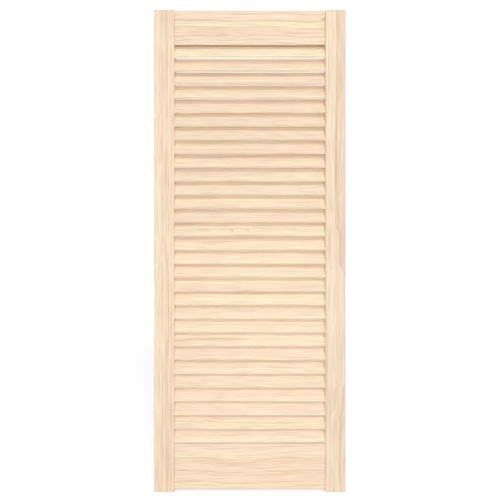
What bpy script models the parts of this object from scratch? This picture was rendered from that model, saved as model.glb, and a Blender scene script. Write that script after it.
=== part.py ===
"""Louvred cabinet door in solid pine.

Two stiles hold a stack of fixed, sloping slats in slanted slots with rounded corners.
Two rails, thinner than the stiles, close the stack. Each rail is rebated along its
inner edge, so that the nearest slat tucks in behind a bevelled lip, and is held to
the stiles by fluted dowels.
Metres, +Z up, front towards -Y, origin under the middle of the door.
"""

import math

import bmesh
import bpy
from mathutils import Matrix

# Frame
DOOR_WIDTH = 0.3945
DOOR_HEIGHT = 0.993
STILE_WIDTH = 0.0414
STILE_THICKNESS = 0.021
RAIL_THICKNESS = 0.015
TOP_RAIL_HEIGHT = 0.0706
BOTTOM_RAIL_HEIGHT = 0.1023
HORN_LENGTH = 0.0041
REBATE_DEPTH = 0.0068
LIP_BEVEL = 0.005
ARRIS_RADIUS = 0.0008
ARRIS_SEGMENTS = 2

# Slats and the slots that hold their ends
SLAT_WIDTH = 0.035
SLAT_THICKNESS = 0.0042
SLAT_EDGE_RADIUS = 0.0008
SLAT_EDGE_SEGMENTS = 3
SLAT_PITCH_WANTED = 0.0285
SLAT_SETBACK = 0.0011
SLOT_DEPTH = 0.009

# Dowels
DOWEL_DIAMETER = 0.008
DOWEL_LENGTH = 0.05
DOWEL_INSET = 0.018
DOWEL_CHAMFER = 0.001
DOWEL_FLUTES = 12
FLUTE_DEPTH = 0.0003
HOLE_SIDES = 24

# Clearances
FIT_GAP = 0.0003
SLOT_END_GAP = 0.0005
REBATE_GAP = 0.0006
DOWEL_END_GAP = 0.001
CUT_OVERRUN = 0.001

# Colours as linear red, green, blue, and one roughness for bare planed wood
PINE_STILE = (0.90, 0.72, 0.53)
PINE_RAIL = (0.91, 0.74, 0.55)
PINE_SLAT = (0.92, 0.75, 0.57)
BEECH_DOWEL = (0.62, 0.40, 0.24)
WOOD_ROUGHNESS = 0.62

# Width left between the stiles, and the lines where the rails start
OPENING_WIDTH = DOOR_WIDTH - 2 * STILE_WIDTH
STILE_CENTRE = (DOOR_WIDTH - STILE_WIDTH) / 2
TOP_LIP = DOOR_HEIGHT - TOP_RAIL_HEIGHT
BOTTOM_LIP = HORN_LENGTH + BOTTOM_RAIL_HEIGHT

# A slat leans until its edges stop SLAT_SETBACK short of the stile faces
CORNER_ALONG = SLAT_WIDTH / 2 - SLAT_EDGE_RADIUS
CORNER_ACROSS = SLAT_THICKNESS / 2 - SLAT_EDGE_RADIUS
SLAT_HALF_DEPTH = STILE_THICKNESS / 2 - SLAT_SETBACK
LEAN = (SLAT_HALF_DEPTH - SLAT_EDGE_RADIUS) / math.hypot(CORNER_ALONG, CORNER_ACROSS)
SLAT_TILT = math.atan2(CORNER_ACROSS, CORNER_ALONG) + math.acos(LEAN)
SLAT_HALF_RISE = (
    CORNER_ALONG * math.sin(SLAT_TILT)
    + CORNER_ACROSS * math.cos(SLAT_TILT)
    + SLAT_EDGE_RADIUS
)

# The stack reaches into both rebates, and its pitch shares out the height evenly
TUCK = REBATE_DEPTH - REBATE_GAP
HIGHEST_SLAT = TOP_LIP + TUCK - SLAT_HALF_RISE
LOWEST_SLAT = BOTTOM_LIP - TUCK + SLAT_HALF_RISE
SLAT_STEPS = round((HIGHEST_SLAT - LOWEST_SLAT) / SLAT_PITCH_WANTED)
SLAT_PITCH = (HIGHEST_SLAT - LOWEST_SLAT) / SLAT_STEPS
SLAT_LENGTH = OPENING_WIDTH + 2 * (SLOT_DEPTH - SLOT_END_GAP)

# Depth of the rail lip: its bevel ends just in front of the slat face behind it
LIP_BACK = (
    (SLAT_HALF_RISE - TUCK + LIP_BEVEL) / math.tan(SLAT_TILT)
    - SLAT_THICKNESS / 2 / math.sin(SLAT_TILT)
    - REBATE_GAP
)


def clear_scene():
    for item in list(bpy.data.objects):
        bpy.data.objects.remove(item)


def wood(name, colour):
    material = bpy.data.materials.new(name)
    material.use_nodes = True
    shader = material.node_tree.nodes["Principled BSDF"]
    shader.inputs["Base Color"].default_value = (*colour, 1)
    shader.inputs["Roughness"].default_value = WOOD_ROUGHNESS
    shader.inputs["Metallic"].default_value = 0
    return material


def place(name, form, material=None, location=(0, 0, 0), tilt=0):
    """Turns a bmesh into a named object. Without a material it is a hidden cutter."""
    bmesh.ops.recalc_face_normals(form, faces=form.faces)
    mesh = bpy.data.meshes.new(name)
    form.to_mesh(mesh)
    form.free()
    piece = bpy.data.objects.new(name, mesh)
    bpy.context.scene.collection.objects.link(piece)
    piece.location = location
    piece.rotation_euler.x = tilt
    if material:
        mesh.materials.append(material)
    else:
        piece.hide_render = True
        piece.display_type = "WIRE"
    return piece


def smooth(piece):
    piece.data.shade_smooth()
    piece.data.set_sharp_from_angle(angle=math.radians(40))


def cut(piece, cutter):
    boolean = piece.modifiers.new(cutter.name, "BOOLEAN")
    boolean.operation = "DIFFERENCE"
    boolean.solver = "EXACT"
    boolean.object = cutter


def rounded_outline(width, thickness, radius, segments):
    """Points of a rectangle with round corners, as (across the door, up) pairs."""
    outline = []
    for corner in range(4):
        turn = corner * math.pi / 2
        along = (width / 2 - radius) * (1 if corner in (0, 3) else -1)
        across = (thickness / 2 - radius) * (1 if corner in (0, 1) else -1)
        for step in range(segments + 1):
            angle = turn + step * math.pi / 2 / segments
            outline.append(
                (along + radius * math.cos(angle), across + radius * math.sin(angle))
            )
    return outline


def prism(outline, length):
    """A bar along X with this (y, z) outline, centred on the origin."""
    form = bmesh.new()
    corners = [form.verts.new((-length / 2, y, z)) for y, z in outline]
    end = form.faces.new(corners)
    grown = bmesh.ops.extrude_face_region(form, geom=[end])["geom"]
    moved = [item for item in grown if isinstance(item, bmesh.types.BMVert)]
    bmesh.ops.translate(form, verts=moved, vec=(length, 0, 0))
    bmesh.ops.recalc_face_normals(form, faces=form.faces)
    return form


def ease(form, edges):
    bmesh.ops.bevel(
        form,
        geom=edges,
        offset=ARRIS_RADIUS,
        segments=ARRIS_SEGMENTS,
        profile=0.5,
        affect="EDGES",
    )


def build_stile(name, side, material, slots):
    form = bmesh.new()
    size = Matrix.Diagonal((STILE_WIDTH, STILE_THICKNESS, DOOR_HEIGHT, 1))
    bmesh.ops.create_cube(form, size=1, matrix=size)
    ease(form, form.edges[:])
    stile = place(name, form, material, (side * STILE_CENTRE, 0, DOOR_HEIGHT / 2))
    cut(stile, slots)
    return stile


def build_slot_cutter(name, side):
    """One slanted slot at the highest slat, repeated down the stile."""
    outline = rounded_outline(
        SLAT_WIDTH + 2 * FIT_GAP,
        SLAT_THICKNESS + 2 * FIT_GAP,
        SLAT_EDGE_RADIUS + FIT_GAP,
        SLAT_EDGE_SEGMENTS,
    )
    form = prism(outline, SLOT_DEPTH + CUT_OVERRUN)
    bmesh.ops.rotate(form, verts=form.verts, matrix=Matrix.Rotation(SLAT_TILT, 3, "X"))
    middle = OPENING_WIDTH / 2 + (SLOT_DEPTH - CUT_OVERRUN) / 2
    cutter = place(name, form, location=(side * middle, 0, HIGHEST_SLAT))
    rows = cutter.modifiers.new("one slot for each slat", "ARRAY")
    rows.count = SLAT_STEPS + 1
    rows.use_relative_offset = False
    rows.use_constant_offset = True
    rows.constant_offset_displace = (0, 0, -SLAT_PITCH)
    return cutter


def build_rail(name, height, low_edge, turned, material):
    """A rail with its lip at the front and its rebate low at the back.

    The lip is bevelled underneath, and is lowest at the front. Turned half round about
    its length, the lip stands high at the back.
    """
    front = -RAIL_THICKNESS / 2
    back = RAIL_THICKNESS / 2
    low = -height / 2
    high = height / 2
    outline = [
        (front, high),
        (front, low),
        (LIP_BACK, low + LIP_BEVEL),
        (LIP_BACK, low + REBATE_DEPTH),
        (back, low + REBATE_DEPTH),
        (back, high),
    ]
    form = prism(outline, OPENING_WIDTH - 2 * FIT_GAP)
    long_edges = [
        edge
        for edge in form.edges
        if abs(edge.verts[0].co.x - edge.verts[1].co.x) > FIT_GAP
        and edge.calc_face_angle_signed() > 0
    ]
    ease(form, long_edges)
    turn = math.pi if turned else 0
    return place(name, form, material, (0, 0, low_edge + height / 2), turn)


def build_slat(name, height, material):
    outline = rounded_outline(
        SLAT_WIDTH, SLAT_THICKNESS, SLAT_EDGE_RADIUS, SLAT_EDGE_SEGMENTS
    )
    form = prism(outline, SLAT_LENGTH)
    slat = place(name, form, material, (0, 0, height), SLAT_TILT)
    smooth(slat)
    return slat


def build_dowel(name, location, material):
    """A pin along X with chamfered ends and flutes for the glue."""
    radius = DOWEL_DIAMETER / 2
    half = DOWEL_LENGTH / 2
    stations = (
        (-half, radius - DOWEL_CHAMFER),
        (-half + DOWEL_CHAMFER, radius),
        (half - DOWEL_CHAMFER, radius),
        (half, radius - DOWEL_CHAMFER),
    )
    form = bmesh.new()
    rings = []
    for x, reach in stations:
        ring = []
        for spoke in range(2 * DOWEL_FLUTES):
            angle = spoke * math.pi / DOWEL_FLUTES
            out = reach - FLUTE_DEPTH * (spoke % 2)
            ring.append(form.verts.new((x, out * math.cos(angle), out * math.sin(angle))))
        rings.append(ring)
    for first, second in zip(rings, rings[1:]):
        for spoke in range(len(first)):
            form.faces.new((first[spoke - 1], first[spoke], second[spoke], second[spoke - 1]))
    form.faces.new(rings[0])
    form.faces.new(rings[-1])
    return place(name, form, material, location)


def build_hole_cutter(name, location):
    """One straight hole that runs from the rail into the stile."""
    form = bmesh.new()
    reach = DOWEL_DIAMETER / 2 + FIT_GAP
    bmesh.ops.create_cone(
        form,
        cap_ends=True,
        segments=HOLE_SIDES,
        radius1=reach,
        radius2=reach,
        depth=DOWEL_LENGTH + 2 * DOWEL_END_GAP,
        matrix=Matrix.Rotation(math.pi / 2, 4, "Y"),
    )
    return place(name, form, location=location)


def build_joint(name, stile, rail, side, heights, material):
    """Dowels across the line where a rail meets a stile, each in its own hole."""
    for level, height in heights.items():
        location = (side * OPENING_WIDTH / 2, 0, height)
        hole = build_hole_cutter(f"hole_{name}_{level}", location)
        cut(stile, hole)
        cut(rail, hole)
        build_dowel(f"dowel_{name}_{level}", location, material)


def main():
    clear_scene()
    stile_pine = wood("pine_stile", PINE_STILE)
    rail_pine = wood("pine_rail", PINE_RAIL)
    slat_pine = wood("pine_slat", PINE_SLAT)
    beech = wood("beech_dowel", BEECH_DOWEL)

    top_rail = build_rail("top_rail", TOP_RAIL_HEIGHT, TOP_LIP, False, rail_pine)
    bottom_rail = build_rail(
        "bottom_rail", BOTTOM_RAIL_HEIGHT, HORN_LENGTH, True, rail_pine
    )
    top_heights = {
        "upper": DOOR_HEIGHT - DOWEL_INSET,
        "lower": TOP_LIP + REBATE_DEPTH + DOWEL_INSET,
    }
    bottom_heights = {
        "upper": BOTTOM_LIP - REBATE_DEPTH - DOWEL_INSET,
        "lower": HORN_LENGTH + DOWEL_INSET,
    }
    for word, side in (("left", -1), ("right", 1)):
        slots = build_slot_cutter(f"slots_{word}", side)
        stile = build_stile(f"{word}_stile", side, stile_pine, slots)
        build_joint(f"top_{word}", stile, top_rail, side, top_heights, beech)
        build_joint(f"bottom_{word}", stile, bottom_rail, side, bottom_heights, beech)

    for step in range(SLAT_STEPS + 1):
        build_slat(f"slat_{step + 1:02d}", HIGHEST_SLAT - step * SLAT_PITCH, slat_pine)


main()
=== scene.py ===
"""Looks of the louvred cabinet door: bare planed pine in soft studio light.

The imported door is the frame. Its stiles, rails and dowels keep their solids and get
wood, and its slats are replaced by laths that each bow a little in their slots.
Metres, +Z up, front towards -Y, origin under the middle of the door.
"""

import functools
import math
import random

import bpy
import numpy as np
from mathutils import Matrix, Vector


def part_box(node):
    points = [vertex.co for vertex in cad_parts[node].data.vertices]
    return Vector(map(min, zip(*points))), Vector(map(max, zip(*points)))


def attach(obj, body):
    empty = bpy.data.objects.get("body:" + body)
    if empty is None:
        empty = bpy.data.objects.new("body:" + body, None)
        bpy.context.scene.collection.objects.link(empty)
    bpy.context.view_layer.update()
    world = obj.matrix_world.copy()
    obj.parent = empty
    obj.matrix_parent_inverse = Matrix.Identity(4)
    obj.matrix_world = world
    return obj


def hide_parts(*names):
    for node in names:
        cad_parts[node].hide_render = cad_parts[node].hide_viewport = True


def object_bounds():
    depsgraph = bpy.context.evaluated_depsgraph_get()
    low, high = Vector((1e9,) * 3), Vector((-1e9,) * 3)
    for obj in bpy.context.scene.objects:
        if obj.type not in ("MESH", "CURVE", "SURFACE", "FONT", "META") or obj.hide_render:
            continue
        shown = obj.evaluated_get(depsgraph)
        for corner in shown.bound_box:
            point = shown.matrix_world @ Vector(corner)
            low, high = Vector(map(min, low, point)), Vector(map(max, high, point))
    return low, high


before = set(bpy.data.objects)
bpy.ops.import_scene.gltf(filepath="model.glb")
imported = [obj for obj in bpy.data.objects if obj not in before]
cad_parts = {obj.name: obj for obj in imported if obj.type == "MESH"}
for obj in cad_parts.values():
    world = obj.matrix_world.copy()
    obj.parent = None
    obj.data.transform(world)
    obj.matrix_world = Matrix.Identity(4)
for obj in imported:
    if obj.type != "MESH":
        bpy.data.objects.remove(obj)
cad_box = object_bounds()

bl_info = {
    "name": "Louvred Cabinet Door",
    "version": (1, 0, 0),
    "blender": (4, 5, 0),
    "location": "View3D > Sidebar > Louvred Door",
    "description": "Dresses the packed louvred door in bare pine and sets its stage",
    "category": "Object",
}

SLATS = sorted(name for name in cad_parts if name.startswith("slat_"))
DOWELS = sorted(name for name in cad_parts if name.startswith("dowel_"))
MM_PER_M = 1000
# Colour sockets of Blender's Mix node, which names sockets of other kinds the same.
MIX_A, MIX_B, MIX_RESULT = 6, 7, 2

# Patterns in the wood: length and width of the marks in millimetres, and how many layers of
# finer marks lie over them.
SWAY_MARKS = (200.0, 33.0, 1.5)
FADE_MARKS = (80.0, 9.0, 2.0)
BLUSH_MARKS = (670.0, 17.0, 2.0)
FLECK_MARKS = (2.0, 0.3, 2.0)
FIBRE_LAYERS = 3.0

# Good and bad spells of growth: how many years one lasts, and how many years it is ahead at most.
SPELL_YEARS = 2.5
SPELL_LEAD = 2.5
# Shares of a year at which latewood begins and at which it is darkest, before it stops.
LATEWOOD_SEASON = (0.45, 0.9)
# How dark the faintest ring and the strongest ring are.
RING_DARKNESS = (0.05, 0.7)
# Levels of a pattern between which lines come up, wood turns pinker and fibres turn paler.
FADE_RISE = (0.3, 0.6)
BLUSH_RISE = (0.35, 0.65)
FIBRE_RISE = (0.25, 0.75)
# What is left of a line where it is faintest, and the shades of the darkest and palest fibres.
FADE_LEAST = 0.4
FIBRE_SHADES = (0.86, 1.14)
# Knots, in radii of the knot: how far along and across the grain the rings part, and how far
# they are pushed aside. Then how dark the core is.
KNOT_SPREAD = (8.0, 2.5)
KNOT_PUSH = 1.6
KNOT_DARKNESS = 0.7
# Shares of a slat's width between which the greyer tint painted into the shade of its sheltered
# upper part begins and is strongest.
SHADE_TINT_RISE = (0.5, 0.85)
# Width in metres of the line of painted shade on the rail below the last slat, and what it leaves
# of the light there.
SHADE_LINE_WIDTH = 0.0035
SHADE_LINE_LEVEL = 0.7
# Height of the fibres beside that of the rings, and how much of the height shows.
FIBRE_HEIGHT = 0.5
RELIEF = 0.3
# Soft earlywood is rougher than the planed face as a whole, and hard latewood is smoother.
EARLYWOOD_ROUGHER = 0.08
LATEWOOD_SMOOTHER = 0.12
WOOD_IOR = 1.5

BEECH = "#D9B48A"
BEECH_FLECK = "#B98D60"
BEECH_ROUGHNESS = 0.5
FLECK_DEPTH = 0.0001

# Most that a wave can stray, in millimetres.
WAVE_REACH = 20.0
# Width of the sharp side of a marked line beside that of its soft side.
SHARP_SIDE = 0.25
# Marked lines can lie between these shares of the nearest and the farthest ring of a board.
RING_SPAN = (0.5, 1.2)
# Puts an edge that is never handled this far outside the board, in metres.
OUT_OF_REACH = 1.0
# Corner of a board's box and axis on which each edge lies.
INNER_EDGES = {"left": ("low", 0), "right": ("high", 0), "lower": ("low", 2), "upper": ("high", 2)}

# Each board is cut from its own stretch of trunk, so no two share a figure.
# stretch: where along the trunk that is, in metres.
# tone: how light the board is beside the others.
# inner: the edges that meet another board and so are never handled.
# pith: how far the heart of the trunk lies outside the measured edge, and behind the middle, in
# metres. The measured edge is the left one of a stile and the upper one of a rail.
# wave: how the rings stray along the board, as shares of its length and millimetres away from
# the measured edge.
# still: the distances in millimetres between which the wave grows from nothing, where it does
# not take the whole board along.
# fade: how strongly the marked lines show along the board.
# lines: dark late rings on the front face, each with its distance from the measured edge in
# millimetres, how dark it is and how wide its soft side is in millimetres.
# bands: wider brown growth, as distances in millimetres and how dark it is there.
# streaks: short brown streaks, as share of the length, distance from the measured edge, half
# length and half width in millimetres, lean in degrees and how dark they are.
# knots: share of the length, distance from the measured edge and radius in millimetres.
# Last: the slat under whose lower edge a line of painted shade darkens the board.
BOARDS = {
    "left_stile": {
        "stretch": 3.0,
        "tone": 0.965,
        "inner": ("right",),
        "pith": (0.085, 0.060),
        "wave": [(0.0, 0.0), (0.3, 0.4), (0.6, 1.2), (0.85, 0.3), (1.0, 0.0)],
        "fade": [(0.0, 1.0), (0.35, 1.0), (0.55, 0.95), (0.75, 0.95), (1.0, 0.8)],
        "lines": [
            (5.5, 0.20, 3.0), (10.5, 0.20, 3.0), (15.0, 0.20, 2.5), (19.5, 0.20, 2.5),
            (24.6, 0.40, 2.5), (29.2, 0.85, 3.0), (35.4, 0.60, 3.0), (40.0, 0.30, 3.0),
        ],
        "streaks": [],
        "bands": [],
        "knots": [],
    },
    "right_stile": {
        "stretch": 5.5,
        "tone": 0.92,
        "inner": ("left",),
        "pith": (0.070, -0.050),
        "wave": [
            (0.0, 6.8), (0.15, 7.0), (0.17, 11.0), (0.208, 12.5), (0.235, 17.0), (0.44, 17.0),
            (0.461, 15.0), (0.475, 7.2), (0.533, 7.0), (0.56, -0.2), (0.79, 0.0), (1.0, 1.7),
        ],
        "fade": [
            (0.0, 0.0), (0.12, 0.0), (0.16, 1.0), (0.208, 1.0), (0.235, 0.15), (0.44, 0.15),
            (0.46, 1.0), (1.0, 1.0),
        ],
        "still": (6.0, 20.0),
        "lines": [(7.4, 0.40, 2.5), (12.0, 0.25, 2.0), (16.0, 0.15, 2.0)],
        "streaks": [
            (0.62, 2.6, 400.0, 2.6, 0, 0.35), (0.245, 2.8, 190.0, 2.6, 0, 0.7),
            (0.05, 28.6, 80.0, 2.2, 1, 0.85), (0.125, 31.8, 50.0, 2.2, 4, 0.7),
            (0.068, 40.0, 20.0, 4.0, 0, 0.35),
        ],
        "bands": [
            (19.8, 0.0), (20.8, 0.9), (22.8, 0.45), (26.0, 0.32), (31.0, 0.4), (36.0, 0.32),
            (46.0, 0.3),
        ],
        "knots": [],
    },
    "top_rail": {
        "stretch": 7.0,
        "tone": 0.965,
        "inner": ("left", "right", "lower"),
        "pith": (0.060, 0.070),
        "wave": [
            (0.0, 0.3), (0.15, -0.3), (0.39, 0.8), (0.62, -0.2), (0.77, 0.6), (0.92, 2.4),
            (1.0, 1.5),
        ],
        "fade": [(0.0, 1.0), (1.0, 1.0)],
        "lines": [
            (8.7, 0.15, 4.0), (20.8, 0.95, 3.0), (34.3, 0.65, 2.5), (40.6, 0.60, 2.5),
            (45.0, 0.20, 2.0), (51.8, 0.80, 2.5), (56.0, 0.20, 2.0), (61.2, 0.55, 2.5),
            (67.4, 0.80, 2.5),
        ],
        "streaks": [
            # The first streak, across the right end of the rail, is a painted shadow of the right
            # stile at the joint.
            (1.0, 35.0, 4.0, 60.0, 0, 0.9), (0.33, 49.5, 18.0, 2.2, 4, 0.7),
            (0.42, 53.5, 24.0, 2.4, 2, 0.4), (0.50, 52.0, 18.0, 2.2, -5, 0.45),
        ],
        "bands": [],
        "knots": [(1.0, 16.5, 2.4)],
    },
    "bottom_rail": {
        "stretch": 9.0,
        "tone": 0.985,
        "inner": ("left", "right", "upper"),
        "pith": (0.075, -0.060),
        "wave": [
            (0.0, 0.5), (0.1, -1.0), (0.2, -1.0), (0.32, 3.4), (0.5, 2.6), (0.7, 0.2),
            (1.0, -1.0),
        ],
        "fade": [(0.0, 1.0), (1.0, 1.0)],
        "lines": [
            (14.0, 0.20, 2.5), (24.0, 0.20, 2.5), (33.5, 0.25, 2.5), (39.5, 0.55, 3.0),
            (44.5, 0.20, 2.5), (49.6, 0.55, 3.0), (64.8, 0.85, 3.0), (72.0, 0.30, 5.0),
            (86.5, 0.45, 5.0), (95.0, 0.25, 3.0),
        ],
        "streaks": [],
        "bands": [],
        "knots": [],
        # A line of painted shade on the rail below this slat's lower edge.
        "painted_shade": "slat_29",
    },
}

# Slats whose rings make a figure that shows, each with a wave as shares of its length and
# millimetres down the face. The others get a gentle wave of their own.
SLAT_WAVES = {
    "slat_22": [
        (0.0, 4.0), (0.08, 2.5), (0.18, 0.0), (0.5, 0.0), (0.68, 2.0), (0.85, 7.0), (1.0, 9.0),
    ],
    "slat_25": [(0.0, 0.0), (0.35, -1.0), (0.6, 0.0), (0.72, 3.5), (0.85, 6.0), (1.0, 6.5)],
    "slat_27": [(0.0, -7.0), (0.1, -3.5), (0.22, 0.0), (1.0, 0.5)],
    "slat_29": [
        (0.0, 0.0), (0.4, 1.0), (0.5, 0.0), (0.56, -3.0), (0.62, -5.0), (0.75, -4.0), (1.0, -3.0),
    ],
}
# Slats that stand out as paler than the rest, and those sawn from the yellower sapwood.
SLAT_TONES = {"slat_19": 1.03}
SAPWOOD_SLATS = ("slat_01",)
# Brown streaks on the slat faces: share of the length, millimetres below the middle, half length
# and half width in millimetres, lean in degrees and darkness.
SLAT_STREAKS = {
    "slat_14": [
        (0.204, 3.0, 30.0, 2.4, -1, 0.75), (0.225, 7.0, 22.0, 2.0, -1, 0.6),
        (0.384, 3.2, 10.0, 2.8, -6, 0.65), (0.392, 6.2, 6.5, 2.8, 65, 0.65),
        (0.478, 2.8, 9.0, 2.8, -6, 0.65), (0.488, 5.8, 6.5, 2.8, -55, 0.6),
    ],
    "slat_22": [(0.09, 4.7, 50.0, 5.0, 2, 0.55), (0.30, 2.2, 130.0, 5.0, 0, 0.55)],
    "slat_28": [(0.26, 2.0, 30.0, 2.4, -9, 0.6), (0.28, -4.0, 26.0, 2.2, -9, 0.5)],
}


def linear(code):
    """Turns an sRGB hex colour into linear red, green and blue."""
    parts = [int(code[i : i + 2], 16) / 255 for i in (1, 3, 5)]
    return tuple(c / 12.92 if c <= 0.04045 else ((c + 0.055) / 1.055) ** 2.4 for c in parts)


def add_node(tree, kind, sockets=None, **settings):
    """Adds a node, sets its properties, and sets or links its sockets."""
    node = tree.nodes.new(kind)
    for key, value in settings.items():
        setattr(node, key, value)
    for key, value in (sockets or {}).items():
        if isinstance(value, bpy.types.NodeSocket):
            tree.links.new(value, node.inputs[key])
        else:
            node.inputs[key].default_value = value
    return node


def bend(node, points):
    """Bends a curve node through points that start at 0 and end at 1."""
    curve = node.mapping.curves[0]
    curve.points[0].location = points[0]
    curve.points[-1].location = points[-1]
    for point in points[1:-1]:
        curve.points.new(*point)
    for point in curve.points:
        point.handle_type = "AUTO_CLAMPED"
    node.mapping.update()


class LouvredDoorPine(bpy.types.PropertyGroup):
    """Colours and grain sizes of the pine."""

    earlywood: bpy.props.FloatVectorProperty(
        name="Earlywood",
        description="Pale wood between the rings",
        subtype="COLOR",
        min=0,
        max=1,
        default=linear("#F0DEC1"),
    )
    latewood: bpy.props.FloatVectorProperty(
        name="Latewood",
        description="Dark line that closes each ring",
        subtype="COLOR",
        min=0,
        max=1,
        default=linear("#CFA273"),
    )
    knot: bpy.props.FloatVectorProperty(
        name="Knot",
        description="Core of a knot",
        subtype="COLOR",
        min=0,
        max=1,
        default=linear("#B98A5A"),
    )
    arris: bpy.props.FloatVectorProperty(
        name="Arris",
        description="Greyer wood along the handled edges",
        subtype="COLOR",
        min=0,
        max=1,
        default=linear("#D3C7BB"),
    )
    arris_width: bpy.props.FloatProperty(
        name="Arris width",
        description="How far the greyer wood reaches in from an edge",
        unit="LENGTH",
        default=0.004,
    )
    arris_wear: bpy.props.FloatProperty(
        name="Arris wear",
        description="How much of the wood turns grey at the very edge",
        subtype="FACTOR",
        min=0,
        max=1,
        default=0.8,
    )
    blush: bpy.props.FloatVectorProperty(
        name="Blush",
        description="Pinker wood that comes and goes in broad bands",
        subtype="COLOR",
        min=0,
        max=1,
        default=linear("#EED6C0"),
    )
    sapwood: bpy.props.FloatVectorProperty(
        name="Sapwood",
        description="Paler and yellower wood from the outside of the trunk",
        subtype="COLOR",
        min=0,
        max=1,
        default=linear("#F6E8CB"),
    )
    # Painted shade: a greyer tint on the sheltered upper part of each slat, and how strong it is at
    # most.
    painted_shade: bpy.props.FloatVectorProperty(
        name="Dust",
        description="Fine dust on the part of a slat that the next one shelters",
        subtype="COLOR",
        min=0,
        max=1,
        default=linear("#E4DCD4"),
    )
    shade_tint_cover: bpy.props.FloatProperty(
        name="Dust cover",
        description="How much of the wood the dust hides at most",
        subtype="FACTOR",
        min=0,
        max=1,
        default=0.35,
    )
    ring_spacing: bpy.props.FloatProperty(
        name="Ring spacing",
        description="One year's growth",
        unit="LENGTH",
        default=0.0042,
    )
    slat_ring_spacing: bpy.props.FloatProperty(
        name="Slat ring spacing",
        description="Growth of one year in the slats, which are cut from slower wood",
        unit="LENGTH",
        default=0.0032,
    )
    ring_sway: bpy.props.FloatProperty(
        name="Ring sway",
        description="How far a ring strays from a true circle",
        unit="LENGTH",
        default=0.0025,
    )
    fibre_length: bpy.props.FloatProperty(
        name="Fibre length",
        description="Length of the fine streaks along the grain",
        unit="LENGTH",
        default=0.05,
    )
    fibre_width: bpy.props.FloatProperty(
        name="Fibre width",
        description="Width of the fine streaks along the grain",
        unit="LENGTH",
        default=0.0024,
    )
    bump_depth: bpy.props.FloatProperty(
        name="Bump depth",
        description="Height of the rings and fibres left by planing",
        unit="LENGTH",
        default=0.0002,
    )
    roughness: bpy.props.FloatProperty(
        name="Roughness",
        description="Roughness of the planed face",
        subtype="FACTOR",
        min=0,
        max=1,
        default=0.6,
    )


class LouvredDoorLaths(bpy.types.PropertyGroup):
    """Shape of the slats."""

    edge_radius: bpy.props.FloatProperty(
        name="Edge radius",
        description="Rounding moulded on the long edges",
        unit="LENGTH",
        default=0.0008,
    )
    settle: bpy.props.FloatProperty(
        name="Settle",
        description="How far a slat drops until it rests on the low end of its slots",
        unit="LENGTH",
        default=0.0003,
    )
    bow: bpy.props.FloatProperty(
        name="Bow",
        description="Most that a slat bows in its middle, before a ripple of up to half as much",
        unit="LENGTH",
        default=0.0005,
    )
    wave: bpy.props.FloatProperty(
        name="Wave",
        description="Most that the rings lean or wave across a slat",
        unit="LENGTH",
        default=0.0015,
    )
    # Painted shade: the rounding between a slat's face and its lower edge is darkened as if in
    # shade.
    arris_painted_shade: bpy.props.FloatProperty(
        name="Arris shade",
        description="How much darker the burnished lower arris of a slat is than its face",
        subtype="FACTOR",
        default=0.3,
    )
    # Painted light: a slat's lower edge is made paler as if lit from below.
    edge_painted_light: bpy.props.FloatProperty(
        name="Edge light",
        description="How much paler the sawn lower edge of a slat is than its face",
        subtype="FACTOR",
        default=0.06,
    )
    shading: bpy.props.FloatProperty(
        name="Shading",
        description="Most that chance makes a slat lighter or darker than the rest",
        subtype="FACTOR",
        default=0.015,
    )
    twist: bpy.props.FloatProperty(
        name="Twist",
        description="Most that the middle of a slat turns",
        subtype="ANGLE",
        default=math.radians(0.5),
    )


class LouvredDoorStage(bpy.types.PropertyGroup):
    """Camera, lamps and floor."""

    frame_height: bpy.props.FloatProperty(
        name="Frame height",
        description="Height of the picture at the front of the door",
        unit="LENGTH",
        default=1.0287,
    )
    camera_distance: bpy.props.FloatProperty(
        name="Camera distance",
        description="From the lens to the front of the door",
        unit="LENGTH",
        default=0.76,
    )
    key_light: bpy.props.FloatProperty(
        name="Key light",
        description="Light of the high soft box on a white card that faces it, where 1 is white",
        default=0.295,
    )
    front_light: bpy.props.FloatProperty(
        name="Front light",
        description="Light of the soft box by the camera, where 1 is white",
        default=0.26,
    )
    low_light: bpy.props.FloatProperty(
        name="Low light",
        description="Light of the small soft box that stands on the floor, where 1 is white",
        default=0.11,
    )
    side_light: bpy.props.FloatProperty(
        name="Side light",
        description="Light of each soft box beside the door, where 1 is white",
        default=0.22,
    )
    rear_light: bpy.props.FloatProperty(
        name="Rear light",
        description="Light of the low soft box behind the door, where 1 is white",
        default=0.24,
    )
    room_light: bpy.props.FloatProperty(
        name="Room light",
        description="Light from all round, where 1 is white",
        default=0.36,
    )
    floor: bpy.props.FloatVectorProperty(
        name="Floor",
        description="Colour of the paper floor",
        subtype="COLOR",
        min=0,
        max=1,
        default=linear("#F4F4F4"),
    )


def new_material(name):
    """Makes an empty material, and gives it with the function that adds a node to it."""
    material = bpy.data.materials.new(name)
    material.use_nodes = True
    material.node_tree.nodes.clear()
    return material, functools.partial(add_node, material.node_tree)


def noise_marks(add, place, length, width, layers):
    """Chance pattern whose marks have this length along X and this width, in millimetres."""
    scale = (MM_PER_M / length, MM_PER_M / width, MM_PER_M / width)
    at = add("ShaderNodeVectorMath", {0: place, 1: scale}, operation="MULTIPLY").outputs[0]
    return add("ShaderNodeTexNoise", {"Vector": at, "Scale": 1.0, "Detail": layers}).outputs["Fac"]


def reach_from(add, log, place, half_sizes, turn=(0.0, 0.0, 0.0)):
    """Distance from a place in the trunk, where 1 is the skin of an egg of these half sizes."""
    egg = add(
        "ShaderNodeMapping",
        {"Vector": log, "Location": place, "Rotation": turn, "Scale": half_sizes},
        vector_type="TEXTURE",
    ).outputs[0]
    return add("ShaderNodeVectorMath", {0: egg}, operation="LENGTH").outputs["Value"]


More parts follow.
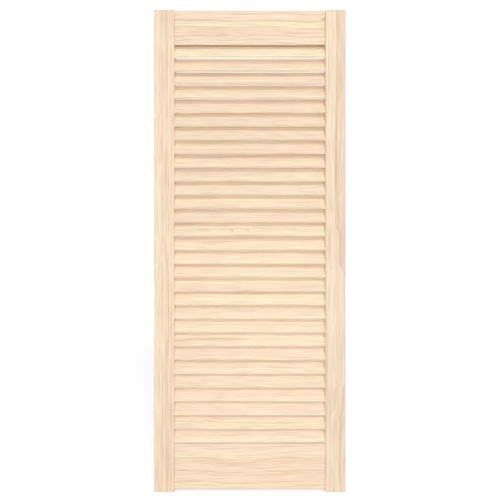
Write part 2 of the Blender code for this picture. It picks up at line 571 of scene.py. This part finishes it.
def ring_radius(add, wood, log):
    """Distance from the heart of the trunk, swayed slowly along and across it."""
    sway = noise_marks(add, log, *SWAY_MARKS)
    across = add("ShaderNodeVectorMath", {0: log, 1: (0.0, 1.0, 1.0)}, operation="MULTIPLY")
    heart = add("ShaderNodeVectorMath", {0: across.outputs[0]}, operation="LENGTH")
    offset = add(
        "ShaderNodeMapRange",
        {"Value": sway, "To Min": -wood.ring_sway, "To Max": wood.ring_sway},
        clamp=False,
    )
    return add(
        "ShaderNodeMath", {0: heart.outputs["Value"], 1: offset.outputs[0]}, operation="ADD"
    ).outputs[0]


def part_round_knots(add, log, radius, knots):
    """Rings that part round the knots, and the dark cores, or None where there is no knot."""
    along, across = KNOT_SPREAD
    core = None
    for place, size in knots:
        reach = reach_from(add, log, place, (along * size, across * size, across * size))
        bulge = add(
            "ShaderNodeMapRange",
            {"Value": reach, "To Min": KNOT_PUSH * size, "To Max": 0.0},
            interpolation_type="SMOOTHSTEP",
        ).outputs[0]
        radius = add("ShaderNodeMath", {0: radius, 1: bulge}, operation="ADD").outputs[0]
        dark = add(
            "ShaderNodeMapRange",
            {"Value": reach, "From Max": 1 / across, "To Min": KNOT_DARKNESS, "To Max": 0.0},
            interpolation_type="SMOOTHSTEP",
        ).outputs[0]
        core = dark if core is None else add(
            "ShaderNodeMath", {0: core, 1: dark}, operation="MAXIMUM"
        ).outputs[0]
    return radius, core


def follow_wave(add, share, radius, board):
    """Rings of a board, carried along by its wave."""
    # The curve holds a shift as 0 to 1, and none at all as 0.5.
    path = add("ShaderNodeFloatCurve", {"Value": share})
    bend(path, [(place, 0.5 - shift / (2 * WAVE_REACH)) for place, shift in board["wave"]])
    most = WAVE_REACH / MM_PER_M
    strayed = add(
        "ShaderNodeMapRange", {"Value": path.outputs[0], "To Min": -most, "To Max": most}
    ).outputs[0]
    if "still" in board:
        begin, full = board["still"]
        taken = add(
            "ShaderNodeMapRange", {"Value": radius, "From Min": begin, "From Max": full}
        ).outputs[0]
        strayed = add("ShaderNodeMath", {0: strayed, 1: taken}, operation="MULTIPLY").outputs[0]
    return add("ShaderNodeMath", {0: radius, 1: strayed}, operation="ADD").outputs[0]


def year_rings(add, radius, spacing):
    """Years of unequal growth, each with a slow rise into the latewood and a sudden end."""
    years = add("ShaderNodeMath", {0: radius, 1: spacing}, operation="DIVIDE").outputs[0]
    spell = add(
        "ShaderNodeTexNoise",
        {"W": years, "Scale": 1 / SPELL_YEARS, "Detail": 1.0},
        noise_dimensions="1D",
    ).outputs["Fac"]
    year = add(
        "ShaderNodeMath", {0: spell, 1: SPELL_LEAD, 2: years}, operation="MULTIPLY_ADD"
    ).outputs[0]
    season = add("ShaderNodeMath", {0: year}, operation="FRACT").outputs[0]
    count = add("ShaderNodeMath", {0: year}, operation="FLOOR").outputs[0]
    begins, darkest = LATEWOOD_SEASON
    summer = add(
        "ShaderNodeMapRange",
        {"Value": season, "From Min": begins, "From Max": darkest},
        interpolation_type="SMOOTHSTEP",
    ).outputs[0]
    winter = add(
        "ShaderNodeMapRange",
        {"Value": season, "From Min": darkest, "From Max": 1.0, "To Min": 1.0, "To Max": 0.0},
    ).outputs[0]
    ring = add("ShaderNodeMath", {0: summer, 1: winter}, operation="MULTIPLY").outputs[0]
    luck = add("ShaderNodeTexWhiteNoise", {"W": count}, noise_dimensions="1D").outputs["Value"]
    faintest, strongest = RING_DARKNESS
    vigour = add(
        "ShaderNodeMapRange", {"Value": luck, "To Min": faintest, "To Max": strongest}
    ).outputs[0]
    return add("ShaderNodeMath", {0: ring, 1: vigour}, operation="MULTIPLY").outputs[0]


def marked_rings(add, share, radius, ring, board):
    """Rings with the marked lines and bands of a board among them."""
    spread = add(
        "ShaderNodeMapRange",
        {"Value": radius, "From Min": board["first"], "From Max": board["last"]},
    ).outputs[0]
    marked = add("ShaderNodeValToRGB", {"Fac": spread})
    ramp = marked.color_ramp.elements
    ramp[0].color = ramp[1].color = (0.0, 0.0, 0.0, 1.0)
    for place, shade in board["stops"]:
        ramp.new(place).color = (shade, shade, shade, 1.0)
    strength = add("ShaderNodeFloatCurve", {"Value": share})
    bend(strength, board["fade"])
    drawn = add(
        "ShaderNodeMath",
        {0: marked.outputs["Color"], 1: strength.outputs[0]},
        operation="MULTIPLY",
    ).outputs[0]
    return add("ShaderNodeMath", {0: ring, 1: drawn}, operation="MAXIMUM").outputs[0]


def fade_and_streak(add, log, ring, streaks):
    """Rings that fade in and out along the wood, with short brown streaks among them."""
    begin, full = FADE_RISE
    faded = add(
        "ShaderNodeMapRange",
        {
            "Value": noise_marks(add, log, *FADE_MARKS),
            "From Min": begin,
            "From Max": full,
            "To Min": FADE_LEAST,
            "To Max": 1.0,
        },
    ).outputs[0]
    ring = add("ShaderNodeMath", {0: ring, 1: faded}, operation="MULTIPLY").outputs[0]
    for place, long, wide, turn, dark in streaks:
        stain = add(
            "ShaderNodeMapRange",
            {
                "Value": reach_from(add, log, place, (long, wide, wide), turn),
                "To Min": dark,
                "To Max": 0.0,
            },
            interpolation_type="SMOOTHSTEP",
        ).outputs[0]
        ring = add("ShaderNodeMath", {0: ring, 1: stain}, operation="MAXIMUM").outputs[0]
    return ring


def pale_wood(add, wood, log, board):
    """Earlywood with broad bands of pinker wood, and sapwood on the slats that are sawn from it."""
    begin, full = BLUSH_RISE
    blush = add(
        "ShaderNodeMapRange",
        {"Value": noise_marks(add, log, *BLUSH_MARKS), "From Min": begin, "From Max": full},
    ).outputs[0]
    pale = add(
        "ShaderNodeMix",
        {"Factor": blush, MIX_A: (*wood.earlywood, 1.0), MIX_B: (*wood.blush, 1.0)},
        data_type="RGBA",
    ).outputs[MIX_RESULT]
    if board:
        return pale
    outside = add("ShaderNodeAttribute", attribute_name="sapwood").outputs["Fac"]
    return add(
        "ShaderNodeMix",
        {"Factor": outside, MIX_A: pale, MIX_B: (*wood.sapwood, 1.0)},
        data_type="RGBA",
    ).outputs[MIX_RESULT]


def fibre_shade(add, fibre, spot, board):
    """Shade of the fibres and of the whole board or slat, with the painted light and shade on a
    slat's lower edge, and of a line of painted shade on a board.
    """
    begin, full = FIBRE_RISE
    darkest, palest = FIBRE_SHADES
    streak = add(
        "ShaderNodeMapRange",
        {"Value": fibre, "From Min": begin, "From Max": full, "To Min": darkest, "To Max": palest},
    ).outputs[0]
    if board:
        tone = board["tone"]
    else:
        # On a slat the tone also carries the painted light and shade on its lower edge.
        tone = add("ShaderNodeAttribute", attribute_name="tone").outputs["Fac"]
    shade = add("ShaderNodeMath", {0: streak, 1: tone}, operation="MULTIPLY").outputs[0]
    # A line of painted shade on the board just below the lower edge of the slat named.
    if board and "painted_shade" in board:
        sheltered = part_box(board["painted_shade"])[0][2]
        line = add(
            "ShaderNodeMapRange",
            {
                "Value": add("ShaderNodeSeparateXYZ", {0: spot}).outputs["Z"],
                "From Min": sheltered - SHADE_LINE_WIDTH,
                "From Max": sheltered,
                "To Min": 1.0,
                "To Max": SHADE_LINE_LEVEL,
            },
            interpolation_type="SMOOTHSTEP",
        ).outputs[0]
        shade = add("ShaderNodeMath", {0: shade, 1: line}, operation="MULTIPLY").outputs[0]
    return shade


def tint_sheltered_shade(add, wood, colour):
    """Colour of a slat with a greyer tint painted into the shade on its sheltered upper part."""
    begin, full = SHADE_TINT_RISE
    cover = add(
        "ShaderNodeMapRange",
        {
            "Value": add("ShaderNodeAttribute", attribute_name="height").outputs["Fac"],
            "From Min": begin,
            "From Max": full,
            "To Max": wood.shade_tint_cover,
        },
        interpolation_type="SMOOTHSTEP",
    ).outputs[0]
    return add(
        "ShaderNodeMix",
        {"Factor": cover, MIX_A: colour, MIX_B: (*wood.painted_shade, 1.0)},
        data_type="RGBA",
    ).outputs[MIX_RESULT]


def handled(add, wood, colour, spot, board):
    """Colour of a board whose handled arrises are a little greyer than its faces."""
    middle, half = board["box"]
    centred = add("ShaderNodeVectorMath", {0: spot, 1: middle}, operation="SUBTRACT").outputs[0]
    out = add("ShaderNodeVectorMath", {0: centred}, operation="ABSOLUTE").outputs[0]
    inside = add("ShaderNodeVectorMath", {0: half, 1: out}, operation="SUBTRACT").outputs[0]
    x, y, z = add("ShaderNodeSeparateXYZ", {0: inside}).outputs
    # An arris is near where the second smallest of the three distances is small.
    least = add("ShaderNodeMath", {0: x, 1: z}, operation="MINIMUM").outputs[0]
    most = add("ShaderNodeMath", {0: x, 1: z}, operation="MAXIMUM").outputs[0]
    other = add("ShaderNodeMath", {0: most, 1: y}, operation="MINIMUM").outputs[0]
    arris = add("ShaderNodeMath", {0: least, 1: other}, operation="MAXIMUM").outputs[0]
    worn = add(
        "ShaderNodeMapRange",
        {
            "Value": arris,
            "From Max": wood.arris_width,
            "To Min": wood.arris_wear,
            "To Max": 0.0,
        },
        interpolation_type="SMOOTHSTEP",
    ).outputs[0]
    return add(
        "ShaderNodeMix",
        {"Factor": worn, MIX_A: colour, MIX_B: (*wood.arris, 1.0)},
        data_type="RGBA",
    ).outputs[MIX_RESULT]


def pine(name, placing=None, board=None, knots=(), streaks=()):
    """Pine, planed and sanded and left bare.

    Pale cream earlywood is closed each year by a thin, darker line of latewood. The lines run
    with the board on its faces and turn into arcs on its ends, because the pattern is a trunk
    and not a picture. Bare softwood is matt, with a faint gleam on the harder latewood.
    placing is the location and turn that carry a board into its trunk, whose heart runs along
    X. A slat has none, and its mesh holds those coordinates as "log". board holds the marked
    rings, the wave and the box of a board. knots are places in the trunk with a radius, and
    streaks are places with a half length, a half width, a turn and a darkness.
    """
    wood = bpy.context.scene.louvred_pine
    material, add = new_material(name)
    if board:
        spot = add("ShaderNodeTexCoord").outputs["Object"]
        location, turn = placing
        log = add(
            "ShaderNodeMapping", {"Vector": spot, "Location": location, "Rotation": turn}
        ).outputs["Vector"]
    else:
        spot = None
        log = add("ShaderNodeAttribute", attribute_name="log").outputs["Vector"]

    radius, core = part_round_knots(add, log, ring_radius(add, wood, log), knots)
    if board:
        share = add(
            "ShaderNodeMapRange",
            {
                "Value": add("ShaderNodeSeparateXYZ", {0: log}).outputs["X"],
                "From Min": board["from"],
                "From Max": board["to"],
            },
        ).outputs[0]
        radius = follow_wave(add, share, radius, board)
        ring = year_rings(add, radius, wood.ring_spacing)
        ring = marked_rings(add, share, radius, ring, board)
    else:
        ring = year_rings(add, radius, wood.slat_ring_spacing)
    ring = fade_and_streak(add, log, ring, streaks)

    # Real fibres are a few hundredths of a millimetre wide and would not show, so they are
    # drawn as bundles a few millimetres wide.
    fibre = noise_marks(
        add, log, MM_PER_M * wood.fibre_length, MM_PER_M * wood.fibre_width, FIBRE_LAYERS
    )
    colour = add(
        "ShaderNodeMix",
        {
            "Factor": ring,
            MIX_A: pale_wood(add, wood, log, board),
            MIX_B: (*wood.latewood, 1.0),
        },
        data_type="RGBA",
    ).outputs[MIX_RESULT]
    if core is not None:
        colour = add(
            "ShaderNodeMix",
            {"Factor": core, MIX_A: colour, MIX_B: (*wood.knot, 1.0)},
            data_type="RGBA",
        ).outputs[MIX_RESULT]
    shade = fibre_shade(add, fibre, spot, board)
    colour = add("ShaderNodeVectorMath", {0: colour, "Scale": shade}, operation="SCALE").outputs[0]
    if board:
        colour = handled(add, wood, colour, spot, board)
    else:
        # Painted shade: a greyer tint on the sheltered upper part of each slat.
        colour = tint_sheltered_shade(add, wood, colour)

    relief = add(
        "ShaderNodeMath", {0: fibre, 1: FIBRE_HEIGHT, 2: ring}, operation="MULTIPLY_ADD"
    ).outputs[0]
    bump = add(
        "ShaderNodeBump", {"Strength": RELIEF, "Distance": wood.bump_depth, "Height": relief}
    ).outputs[0]
    gleam = add(
        "ShaderNodeMapRange",
        {
            "Value": relief,
            "To Min": wood.roughness + EARLYWOOD_ROUGHER,
            "To Max": wood.roughness - LATEWOOD_SMOOTHER,
        },
    ).outputs[0]
    surface = add(
        "ShaderNodeBsdfPrincipled",
        {"Base Color": colour, "Roughness": gleam, "IOR": WOOD_IOR, "Normal": bump},
    ).outputs[0]
    add("ShaderNodeOutputMaterial", {"Surface": surface})
    return material


def board_material(node):
    """Pine for one of the four boards, laid out from the board's own edges."""
    board = dict(BOARDS[node])
    low, high = (Vector(corner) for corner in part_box(node))
    reach, behind = board["pith"]
    stretch = board["stretch"]
    upright = high.z - low.z > high.x - low.x
    if upright:
        # Heart along Z, and rings counted from the left edge.
        turn = (0.0, math.radians(90), 0.0)
        heart = low.x - reach
        start, end, width = low.z, high.z, high.x - low.x
    else:
        # Heart along X, and rings counted down from the upper edge.
        turn = (0.0, 0.0, 0.0)
        heart = -(high.z + reach)
        start, end, width = low.x, high.x, high.z - low.z
    front = low.y - behind

    def ring_at(distance):
        """Radius of the ring that shows on the front face at this distance in millimetres."""
        return math.hypot(reach + distance / MM_PER_M, front)

    def spot(share, distance):
        """Place in the trunk of a spot on the front face."""
        return stretch + start + share * (end - start), front, -reach - distance / MM_PER_M

    first = RING_SPAN[0] * reach
    last = RING_SPAN[1] * math.hypot(reach + width, behind)
    stops = []
    for distance, shade, soft in board["lines"]:
        soft /= MM_PER_M
        for step, level in ((-soft, 0.0), (0.0, shade), (SHARP_SIDE * soft, 0.0)):
            stops.append(((ring_at(distance) + step - first) / (last - first), level))
    for distance, shade in board["bands"]:
        stops.append(((ring_at(distance) - first) / (last - first), shade))
    board["first"], board["last"], board["stops"] = first, last, stops
    board["from"], board["to"] = stretch + start, stretch + end
    if "still" in board:
        board["still"] = [ring_at(distance) for distance in board["still"]]

    # The box whose edges are handled: an inner edge is put far out of reach.
    for side in board["inner"]:
        corner, axis = INNER_EDGES[side]
        if corner == "low":
            low[axis] -= OUT_OF_REACH
        else:
            high[axis] += OUT_OF_REACH
    board["box"] = (low + high) / 2, (high - low) / 2

    knots = [(spot(share, mm), size / MM_PER_M) for share, mm, size in board["knots"]]
    streaks = [
        (spot(share, mm), long / MM_PER_M, wide / MM_PER_M, (0.0, math.radians(lean), 0.0), dark)
        for share, mm, long, wide, lean, dark in board["streaks"]
    ]
    placing = (stretch, -behind, heart), turn
    return pine("pine_planed_" + node, placing, board, knots, streaks)


def beech():
    """Beech, turned into fluted dowel.

    Even tan wood with short darker flecks along the pin, and a dull sheen from the die.
    """
    material, add = new_material("beech_turned_dowel")
    spot = add("ShaderNodeTexCoord").outputs["Object"]
    fleck = noise_marks(add, spot, *FLECK_MARKS)
    colour = add(
        "ShaderNodeMix",
        {"Factor": fleck, MIX_A: (*linear(BEECH), 1.0), MIX_B: (*linear(BEECH_FLECK), 1.0)},
        data_type="RGBA",
    ).outputs[MIX_RESULT]
    bump = add(
        "ShaderNodeBump", {"Strength": RELIEF, "Distance": FLECK_DEPTH, "Height": fleck}
    ).outputs[0]
    surface = add(
        "ShaderNodeBsdfPrincipled",
        {"Base Color": colour, "Roughness": BEECH_ROUGHNESS, "IOR": WOOD_IOR, "Normal": bump},
    ).outputs[0]
    add("ShaderNodeOutputMaterial", {"Surface": surface})
    return material


def dress(node, material):
    """Gives a CAD node its finish."""
    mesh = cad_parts[node].data
    mesh.materials.clear()
    mesh.materials.append(material)


class LOUVRED_OT_stiles(bpy.types.Operator):
    """Finish the two stiles in pine"""

    bl_idname = "louvred_door.stiles"
    bl_label = "Stiles"

    def execute(self, context):
        for node in ("left_stile", "right_stile"):
            dress(node, board_material(node))
        return {"FINISHED"}


class LOUVRED_OT_rails(bpy.types.Operator):
    """Finish the two rails in pine"""

    bl_idname = "louvred_door.rails"
    bl_label = "Rails"

    def execute(self, context):
        for node in ("top_rail", "bottom_rail"):
            dress(node, board_material(node))
        return {"FINISHED"}


class LOUVRED_OT_dowels(bpy.types.Operator):
    """Finish the hidden dowels in beech"""

    bl_idname = "louvred_door.dowels"
    bl_label = "Dowels"

    def execute(self, context):
        material = beech()
        for node in DOWELS:
            dress(node, material)
        return {"FINISHED"}


def seat_of(node):
    """Middle, directions across the width and the thickness, and sizes of a slat's CAD solid."""
    points = np.array([v.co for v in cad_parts[node].data.vertices])
    middle = (points.min(0) + points.max(0)) / 2
    section = points[:, 1:] - middle[1:]
    # The last of the section's own axes is the one along its width.
    axes = np.linalg.eigh(section.T @ section)[1]
    rise = axes[:, 1] * np.sign(axes[1, 1])
    face = np.array([-rise[1], rise[0]])
    sizes = np.ptp(points[:, 0]), np.ptp(section @ rise), np.ptp(section @ face)
    return middle, rise, face, sizes


def lath_outline(width, thickness, radius, steps):
    """Cross-section of a lath with rounded edges, as points across the width and the thickness."""
    outline = []
    for corner, (side, top) in enumerate(((1, 1), (-1, 1), (-1, -1), (1, -1))):
        for step in range(steps + 1):
            angle = math.radians(90) * (corner + step / steps)
            outline.append(
                (
                    side * (width / 2 - radius) + radius * math.cos(angle),
                    top * (thickness / 2 - radius) + radius * math.sin(angle),
                )
            )
    return np.array(outline)


class LOUVRED_OT_slats(bpy.types.Operator):
    """Build the slats as thin laths with moulded edges"""

    bl_idname = "louvred_door.slats"
    bl_label = "Slats"

    SEED = 29
    STATIONS = 48
    EDGE_STEPS = 4
    SHARP_ANGLE = math.radians(40)
    # A ripple in the bow: its share of the bow at most, and its turn from middle to end in
    # radians.
    RIPPLE = 0.5
    RIPPLE_TURN = 4
    # The slats are cut past the boards, a metre of trunk for each.
    TRUNK_START = 20
    # Distance of a slat from the heart in metres, and most that the heart lies off its plane, as
    # an angle in radians.
    PITH_REACH = (0.03, 0.11)
    PITH_SPREAD = 0.95
    # Turn of the gentle wave of the rings from middle to end, in radians.
    WAVE_TURN = 2.5

    def execute(self, context):
        settings = context.scene.louvred_laths
        chance = random.Random(self.SEED)
        laths, streaks = [], []
        for number, node in enumerate(SLATS):
            lath, marks = self.shape(number, node, settings, chance)
            laths.append(lath)
            streaks += marks
        material = pine("pine_moulded_slat", streaks=streaks)
        for lath in laths:
            self.build(*lath, material)
        return {"FINISHED"}

    def shape(self, number, node, settings, chance):
        """Points and wood of one bowed and twisted lath, and the streaks on its face."""
        middle, rise, face, (length, width, thickness) = seat_of(node)
        outline = lath_outline(width, thickness, settings.edge_radius, self.EDGE_STEPS)
        across, through = outline.T
        lift = chance.uniform(-1, 1) * settings.bow
        ripple = chance.uniform(-self.RIPPLE, self.RIPPLE) * settings.bow
        turn = chance.uniform(-1, 1) * settings.twist
        phase = chance.uniform(0, math.tau)
        pith_angle = chance.choice((0, math.pi))
        pith_angle += chance.uniform(-self.PITH_SPREAD, self.PITH_SPREAD)
        pith = chance.uniform(*self.PITH_REACH) * np.array(
            [math.cos(pith_angle), math.sin(pith_angle)]
        )
        swing = [chance.uniform(-1, 1) * settings.wave for _ in range(3)]
        tone = SLAT_TONES.get(node, 1 + chance.uniform(-1, 1) * settings.shading)
        wave = SLAT_WAVES.get(node)

        points, log = [], []
        for station in np.linspace(-1, 1, self.STATIONS + 1):
            x = station * length / 2
            # The ends are held in their slots, and the middle is free.
            free = 1 - station**2
            angle = turn * free
            up = lift * free + ripple * free * math.sin(phase + self.RIPPLE_TURN * station)
            v = across * math.cos(angle) - through * math.sin(angle)
            n = across * math.sin(angle) + through * math.cos(angle)
            section = np.outer(v, rise) + np.outer(n, face) + middle[1:]
            section += np.array([0, up - settings.settle])
            points.append(np.column_stack([np.full(len(v), middle[0] + x), section]))
            trunk = outline - pith + self.stray(station, swing, phase, wave)
            stretch = np.full(len(v), x + self.TRUNK_START + number)
            log.append(np.column_stack([stretch, trunk]))

        # 1 at the lower edge or at the front face, falling to 0 one radius in from it.
        corner = np.array([-1, 1]) * outline - np.array([width, thickness]) / 2
        edge, front = np.clip(1 + corner / settings.edge_radius, 0, 1).T
        # 1 in the middle of the rounding.
        arris = 2 * edge * front
        # The lower edge is painted paler, as if lit from below, and the rounding above it darker,
        # as shade.
        painted_edge_light_and_shade = 1 + settings.edge_painted_light * edge - settings.arris_painted_shade * arris
        # Shade of the wood with painted light on the lower edge and painted shade on its arris,
        # share of the width above the lower edge, and 1 for sapwood.
        attributes = {
            "tone": np.tile(tone * painted_edge_light_and_shade, self.STATIONS + 1),
            "height": np.tile(across / width + 0.5, self.STATIONS + 1),
            "sapwood": np.full(len(outline) * (self.STATIONS + 1), float(node in SAPWOOD_SLATS)),
        }

        streaks = []
        for share, below, long, wide, lean, dark in SLAT_STREAKS.get(node, ()):
            station = 2 * share - 1
            spot = np.array([-below / MM_PER_M, thickness / 2]) - pith
            spot += self.stray(station, swing, phase, wave)
            place = (station * length / 2 + self.TRUNK_START + number, *spot)
            tilt = (0.0, 0.0, math.radians(lean))
            streaks.append((place, long / MM_PER_M, wide / MM_PER_M, tilt, dark))
        return (node, np.concatenate(points), np.concatenate(log), attributes), streaks

    def stray(self, station, swing, phase, wave):
        """How far the trunk strays across the slat here: up its face, and through it."""
        if wave:
            shares, shifts = zip(*wave)
            return np.array([np.interp((station + 1) / 2, shares, shifts) / MM_PER_M, 0.0])
        up = swing[0] * station + swing[1] * math.sin(self.WAVE_TURN * station + phase)
        return np.array([up, swing[2] * station])

    def build(self, node, points, log, attributes, material):
        """Skins the stations into one lath and stands it in for its CAD node."""
        around = len(points) // (self.STATIONS + 1)
        faces = []
        for station in range(self.STATIONS):
            for i in range(around):
                a, b = station * around + i, station * around + (i + 1) % around
                faces.append((a, a + around, b + around, b))
        last = self.STATIONS * around
        faces.append(tuple(range(around)))
        faces.append(tuple(last + i for i in reversed(range(around))))
        mesh = bpy.data.meshes.new(node.replace("slat", "lath"))
        mesh.from_pydata(points.tolist(), [], faces)
        mesh.shade_smooth()
        mesh.set_sharp_from_angle(angle=self.SHARP_ANGLE)
        mesh.attributes.new("log", "FLOAT_VECTOR", "POINT").data.foreach_set("vector", log.ravel())
        for name, values in attributes.items():
            mesh.attributes.new(name, "FLOAT", "POINT").data.foreach_set("value", values)
        mesh.materials.append(material)
        lath = bpy.data.objects.new(mesh.name, mesh)
        bpy.context.scene.collection.objects.link(lath)
        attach(lath, "root")
        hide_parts(node)


class LOUVRED_OT_stage(bpy.types.Operator):
    """Lay the floor, hang the light and place the camera"""

    bl_idname = "louvred_door.stage"
    bl_label = "Stage"

    FLOOR_SIDE = 12.0
    # How strongly the floor glows to the camera, so that it looks white, at two distances in
    # metres: less by the door, where the lamps light it.
    GLOW = ((1.0, 0.44), (6.0, 0.68))
    # Soft boxes: setting of the light, degrees to the right of the front and above level,
    # distance from the middle of the door and side of the box in metres.
    SOFT_BOXES = {
        "high_soft_box": ("key_light", 18, 37, 7.0, 1.2),
        "front_soft_box": ("front_light", 0, -2, 3.2, 0.4),
        "low_soft_box": ("low_light", 0, -11, 2.2, 0.14),
        "right_soft_box": ("side_light", 92, 7, 5.0, 1.6),
        "left_soft_box": ("side_light", -92, 7, 5.0, 1.6),
        "rear_soft_box": ("rear_light", 180, 7, 5.0, 1.6),
    }
    # Width of the film in millimetres, and how far to the right and how high the lens stands.
    FILM_WIDTH = 36.0
    LENS_SIDE = 0.0003
    LENS_HEIGHT = 0.4987

    def execute(self, context):
        settings = context.scene.louvred_stage
        context.scene.view_settings.view_transform = "Standard"
        self.lay_floor(settings)
        self.light_world(settings)
        for name, (light, *place) in self.SOFT_BOXES.items():
            self.hang_lamp(name, getattr(settings, light), *place)
        self.place_camera(settings)
        return {"FINISHED"}

    def lay_floor(self, settings):
        """Matt paper, white to the camera and with the door's shadow left on it."""
        half = self.FLOOR_SIDE / 2
        mesh = bpy.data.meshes.new("floor")
        corners = [(-half, -half, 0), (half, -half, 0), (half, half, 0), (-half, half, 0)]
        mesh.from_pydata(corners, [], [(0, 1, 2, 3)])
        material, add = new_material("paper_matt_white")
        paper = add("ShaderNodeBsdfDiffuse", {"Color": (*settings.floor, 1.0)}).outputs[0]
        spot = add("ShaderNodeTexCoord").outputs["Object"]
        away = add("ShaderNodeVectorMath", {0: spot}, operation="LENGTH").outputs["Value"]
        (near, low), (far, high) = self.GLOW
        lift = add(
            "ShaderNodeMapRange",
            {"Value": away, "From Min": near, "From Max": far, "To Min": low, "To Max": high},
        ).outputs[0]
        strength = add(
            "ShaderNodeMath", {0: self.seen(add), 1: lift}, operation="MULTIPLY"
        ).outputs[0]
        glow = add("ShaderNodeEmission", {"Strength": strength}).outputs[0]
        surface = add("ShaderNodeAddShader", {0: paper, 1: glow}).outputs[0]
        add("ShaderNodeOutputMaterial", {"Surface": surface})
        mesh.materials.append(material)
        floor = bpy.data.objects.new("floor", mesh)
        bpy.context.scene.collection.objects.link(floor)

    def seen(self, add):
        """1 for a ray that shows the background, and 0 for one that lights the door."""
        path = add("ShaderNodeLightPath").outputs
        shine = add(
            "ShaderNodeMath",
            {0: path["Is Glossy Ray"], 1: path["Is Transmission Ray"]},
            operation="MAXIMUM",
        ).outputs[0]
        return add(
            "ShaderNodeMath", {0: path["Is Camera Ray"], 1: shine}, operation="MAXIMUM"
        ).outputs[0]

    def light_world(self, settings):
        """Even light from all round, white where it is seen."""
        world = bpy.data.worlds.new("studio")
        bpy.context.scene.world = world
        world.use_nodes = True
        world.node_tree.nodes.clear()
        add = functools.partial(add_node, world.node_tree)
        strength = add(
            "ShaderNodeMapRange",
            {"Value": self.seen(add), "To Min": settings.room_light, "To Max": 1.0},
        ).outputs[0]
        light = add(
            "ShaderNodeBackground", {"Color": (1.0, 1.0, 1.0, 1.0), "Strength": strength}
        ).outputs[0]
        add("ShaderNodeOutputWorld", {"Surface": light})

    def hang_lamp(self, name, light, side, height, distance, size):
        """Hangs a soft box that faces the middle of the door."""
        side, height = math.radians(side), math.radians(height)
        middle = Vector((0, 0, (cad_box[0][2] + cad_box[1][2]) / 2))
        away = Vector(
            (
                math.cos(height) * math.sin(side),
                -math.cos(height) * math.cos(side),
                math.sin(height),
            )
        )
        lamp = bpy.data.lights.new(name, "AREA")
        lamp.shape = "SQUARE"
        lamp.size = size
        # At this power a white card that faces the lamp renders as bright as light says.
        lamp.energy = light * (math.pi * distance) ** 2
        box = bpy.data.objects.new(name, lamp)
        box.location = middle + away * distance
        box.rotation_euler = away.to_track_quat("Z", "Y").to_euler()
        box.visible_camera = False
        bpy.context.scene.collection.objects.link(box)

    def place_camera(self, settings):
        """Stands the camera level in front of the door."""
        low = cad_box[0]
        camera = bpy.data.cameras.new("camera")
        camera.sensor_width = self.FILM_WIDTH
        camera.lens = camera.sensor_width * settings.camera_distance / settings.frame_height
        stand = bpy.data.objects.new("camera", camera)
        stand.location = (self.LENS_SIDE, low[1] - settings.camera_distance, self.LENS_HEIGHT)
        stand.rotation_euler = (math.radians(90), 0, 0)
        bpy.context.scene.collection.objects.link(stand)
        bpy.context.scene.camera = stand


class LOUVRED_PT_door(bpy.types.Panel):
    """Lists the door's pieces and finishes"""

    bl_idname = "LOUVRED_PT_door"
    bl_label = "Louvred Door"
    bl_space_type = "VIEW_3D"
    bl_region_type = "UI"
    bl_category = "Louvred Door"

    def draw(self, context):
        for operator in OPERATORS:
            self.layout.operator(operator.bl_idname)
        for group in (
            context.scene.louvred_pine, context.scene.louvred_laths, context.scene.louvred_stage
        ):
            box = self.layout.box()
            for name in group.__annotations__:
                box.prop(group, name)


OPERATORS = (
    LOUVRED_OT_stage, LOUVRED_OT_stiles, LOUVRED_OT_rails, LOUVRED_OT_slats, LOUVRED_OT_dowels
)
CLASSES = (LouvredDoorPine, LouvredDoorLaths, LouvredDoorStage, *OPERATORS, LOUVRED_PT_door)


def register():
    for cls in CLASSES:
        bpy.utils.register_class(cls)
    bpy.types.Scene.louvred_pine = bpy.props.PointerProperty(type=LouvredDoorPine)
    bpy.types.Scene.louvred_laths = bpy.props.PointerProperty(type=LouvredDoorLaths)
    bpy.types.Scene.louvred_stage = bpy.props.PointerProperty(type=LouvredDoorStage)


def unregister():
    del bpy.types.Scene.louvred_stage
    del bpy.types.Scene.louvred_laths
    del bpy.types.Scene.louvred_pine
    for cls in reversed(CLASSES):
        bpy.utils.unregister_class(cls)


def main():
    register()
    bpy.ops.louvred_door.stage()
    bpy.ops.louvred_door.stiles()
    bpy.ops.louvred_door.rails()
    bpy.ops.louvred_door.slats()
    bpy.ops.louvred_door.dowels()


if __name__ == "__main__":
    main()
